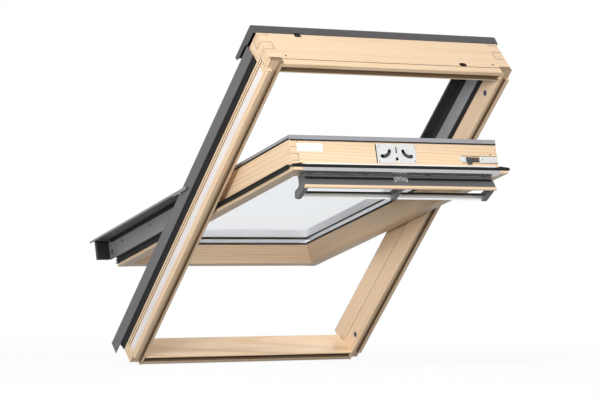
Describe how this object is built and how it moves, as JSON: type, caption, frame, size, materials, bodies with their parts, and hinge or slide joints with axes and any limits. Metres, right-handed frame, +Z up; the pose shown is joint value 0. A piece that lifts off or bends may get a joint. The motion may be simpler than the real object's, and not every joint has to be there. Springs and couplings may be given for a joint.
{
  "type": "centre-pivot roof window",
  "caption": "Timber roof window with a centre-pivot glazed sash swung open in its clad frame, a ventilation flap with a control bar, a lock and a barrel bolt.",
  "frame": {"origin": "middle of the flat seat under the frame sill", "axes": "+X to the right seen from the room, +Y horizontally away from the room, +Z up; the frame leans at the roof slope"},
  "size_m": [0.807, 1.1257, 0.9412],
  "materials": {
    "frame_timber": "clear lacquered pine",
    "sash_timber": "clear lacquered pine",
    "dark_cladding": "dark grey coated sheet",
    "mid_cladding": "mid grey satin profile",
    "black_rubber": "matt black",
    "black_plastic": "matt black",
    "pale_strip": "pale matt",
    "white_plastic": "white matt",
    "clear_glass": "clear",
    "spacer_metal": "satin",
    "zinc_steel": "zinc plated",
    "bolt_steel": "dark zinc plated",
    "silver_profile": "satin anodised",
    "flap_grey": "dark grey coated",
    "grey_plastic": "dark grey matt"
  },
  "bodies": {
    "frame": {"frame_head": "frame_timber", "frame_sill": "frame_timber", "frame_stile_left": "frame_timber", "frame_stile_right": "frame_timber", "collar_strip_left": "pale_strip", "collar_strip_right": "pale_strip", "hood": "dark_cladding", "upper_cover_left": "dark_cladding", "upper_cover_right": "dark_cladding", "side_cladding_left": "dark_cladding", "side_cladding_right": "dark_cladding", "side_seal_left": "black_rubber", "side_seal_right": "black_rubber", "lining_strip_left": "mid_cladding", "lining_strip_right": "mid_cladding", "upper_seal_left": "black_rubber", "upper_seal_right": "black_rubber", "head_stop_seal": "black_rubber", "sill_cover": "dark_cladding", "striker": "zinc_steel", "pivot_plate_left": "zinc_steel", "pivot_plate_right": "zinc_steel", "bolt_bush_upper": "black_plastic", "bolt_bush_lower": "black_plastic"},
    "sash": {"sash_head": "sash_timber", "sash_foot": "sash_timber", "sash_stile_left": "sash_timber", "sash_stile_right": "sash_timber", "inner_pane": "clear_glass", "outer_pane": "clear_glass", "glass_spacer": "spacer_metal", "inner_glazing_seal": "black_rubber", "outer_glazing_seal": "black_rubber", "sash_seal": "black_rubber", "lower_cover_left": "dark_cladding", "lower_cover_right": "dark_cladding", "foot_cover": "dark_cladding", "head_cover": "mid_cladding", "upper_strip_left": "dark_cladding", "upper_strip_right": "dark_cladding", "end_cap_left": "black_plastic", "end_cap_right": "black_plastic", "pivot_arm_left": "zinc_steel", "pivot_arm_right": "zinc_steel", "lock_case": "zinc_steel", "lock_screws": "zinc_steel", "bolt_keeper": "zinc_steel", "vent_profile": "silver_profile", "vent_filter": "black_plastic", "vent_cover": "white_plastic", "flap_hinges": "zinc_steel"},
    "flap": {"flap_plate": "flap_grey", "flap_seal": "black_rubber", "flap_nosing": "sash_timber", "control_bar": "silver_profile", "bar_end_left": "grey_plastic", "bar_end_right": "grey_plastic", "bar_bracket": "grey_plastic"},
    "hooks": {"lock_hooks": "zinc_steel"},
    "bolt": {"barrel_bolt": "bolt_steel"}
  },
  "joints": [
    {"name": "sash_pivot", "type": "hinge", "parent": "frame", "child": "sash", "pos_m": [0, -0.35426, 0.46881], "axis": [1, 0, 0], "range_deg": [-31, 99]},
    {"name": "flap_turn", "type": "hinge", "parent": "sash", "child": "flap", "pos_m": [0, -0.86228, 0.51457], "axis": [1, 0, 0], "range_deg": [-62, 0]},
    {"name": "hook_lift", "type": "slide", "parent": "sash", "child": "hooks", "axis": [0, -0.9703, 0.2419], "range_m": [0, 0.00801]},
    {"name": "bolt_slide", "type": "slide", "parent": "sash", "child": "bolt", "axis": [1, 0, 0], "range_m": [0, 0.022]}
  ],
  "couplings": [
    {"joint": "hook_lift", "follows": "flap_turn", "m_per_rad": -0.007393}
  ]
}
